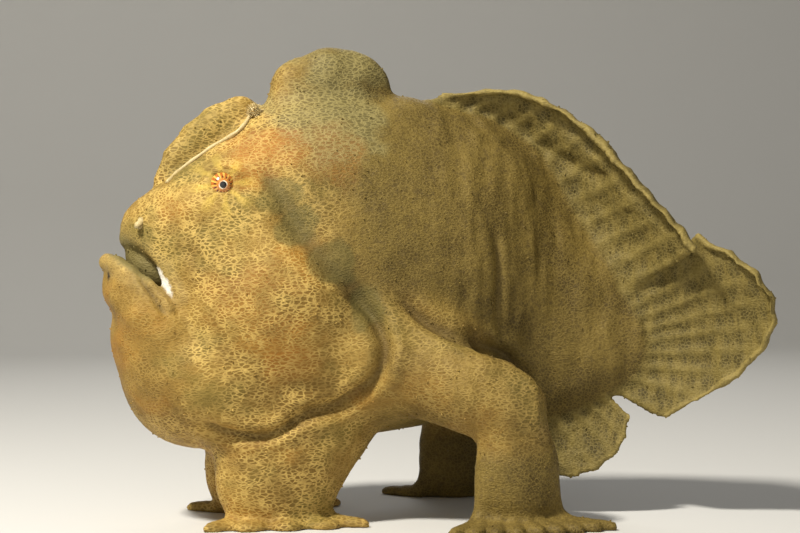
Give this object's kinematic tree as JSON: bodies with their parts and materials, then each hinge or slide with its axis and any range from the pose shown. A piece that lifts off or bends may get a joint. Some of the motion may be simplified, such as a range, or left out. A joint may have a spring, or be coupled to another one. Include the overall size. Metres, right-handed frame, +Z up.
{
  "type": "frogfish model",
  "caption": "Life-size still model of a giant frogfish standing on its fins, head low and tail swung to its left.",
  "frame": {"origin": "on the floor, under the middle of the model's bounding box", "axes": "+X from the head towards the tail along the model's longest extent, +Y towards the fish's right flank, +Z up"},
  "size_m": [0.2668, 0.136, 0.1952],
  "materials": {
    "skin": "matte",
    "fin_skin": "matte",
    "lure": "matte",
    "eye": "gloss"
  },
  "bodies": {
    "root": {"head": "skin", "lower_jaw": "skin", "torso": "skin", "tail_stem": "skin", "arm_left": "skin", "arm_right": "skin", "pelvic_fin_left": "skin", "pelvic_fin_right": "skin", "pectoral_fin_left": "skin", "pectoral_fin_right": "skin", "second_dorsal_spine": "skin", "third_dorsal_spine": "skin", "dorsal_fin": "fin_skin", "caudal_fin": "fin_skin", "anal_fin": "fin_skin", "illicium": "lure", "eye_left": "eye", "eye_right": "eye"}
  },
  "joints": []
}
